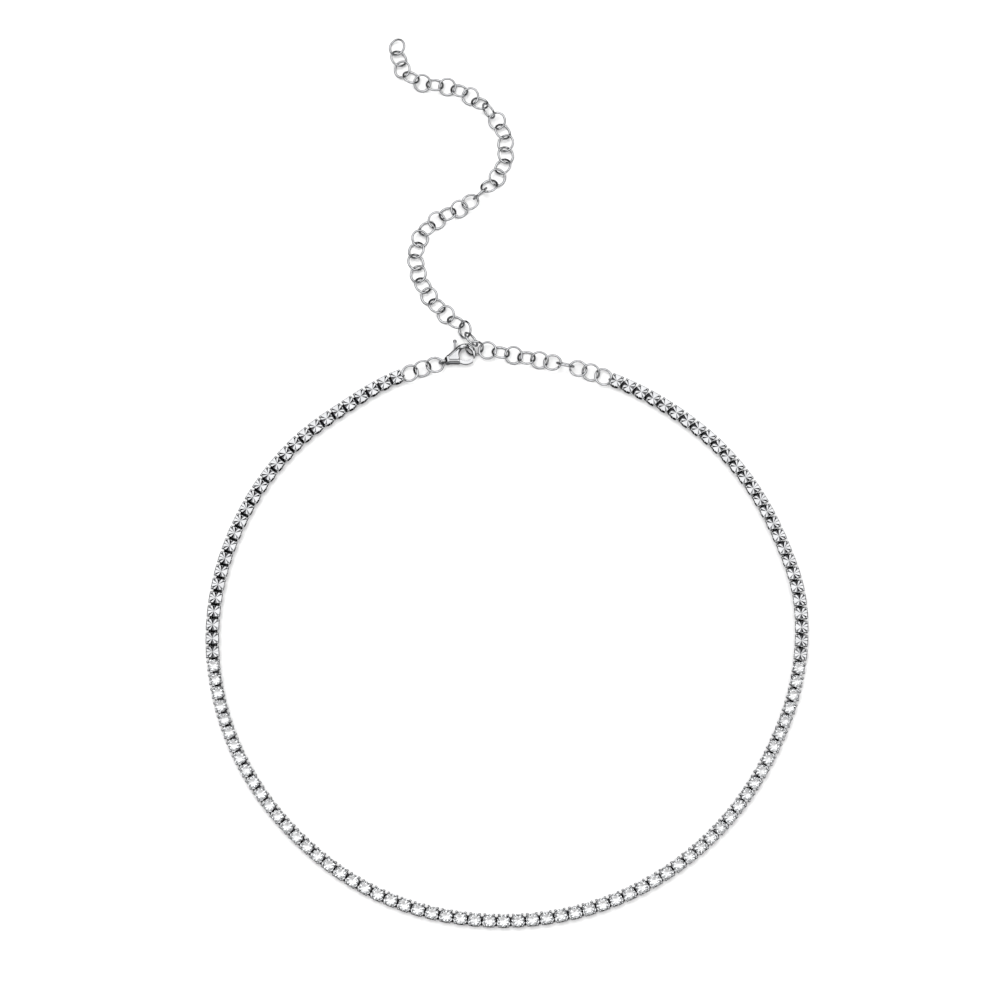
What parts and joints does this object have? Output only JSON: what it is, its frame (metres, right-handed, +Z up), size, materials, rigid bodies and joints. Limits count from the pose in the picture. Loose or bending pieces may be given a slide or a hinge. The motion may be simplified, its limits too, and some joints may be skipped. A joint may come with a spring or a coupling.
{
  "type": "riviere necklace",
  "caption": "Round riviere choker of hinged claw settings with clear round stones, mirror-cut back links, lobster clasp and a long extender chain, lying flat.",
  "frame": {"origin": "middle of the closed neck loop, on the surface that the necklace lies on", "axes": "+Z up from that surface, +Y from the front of the loop towards the clasp and the free tail, +X to the right in the picture"},
  "size_m": [0.1075, 0.1692, 0.0037],
  "materials": {
    "white_metal": "polished",
    "mirror_cut_metal": "mirror-cut",
    "link_wire": "polished",
    "clasp_metal": "polished",
    "clear_stone": "faceted, polished"
  },
  "bodies": {
    "necklace": {"left_links": "mirror_cut_metal", "front_settings": "white_metal", "stones": "clear_stone", "right_links": "mirror_cut_metal", "end_rings": "link_wire", "clasp_body": "clasp_metal", "extender_chain": "link_wire"},
    "lever": {"clasp_lever": "clasp_metal"}
  },
  "joints": [
    {"name": "lever_hinge", "type": "hinge", "parent": "necklace", "child": "lever", "pos_m": [-0.00924, 0.05137, 0.00111], "axis": [0, 0, 1], "range_deg": [0, 12], "stiffness_Nm_per_rad": 0.000002}
  ]
}
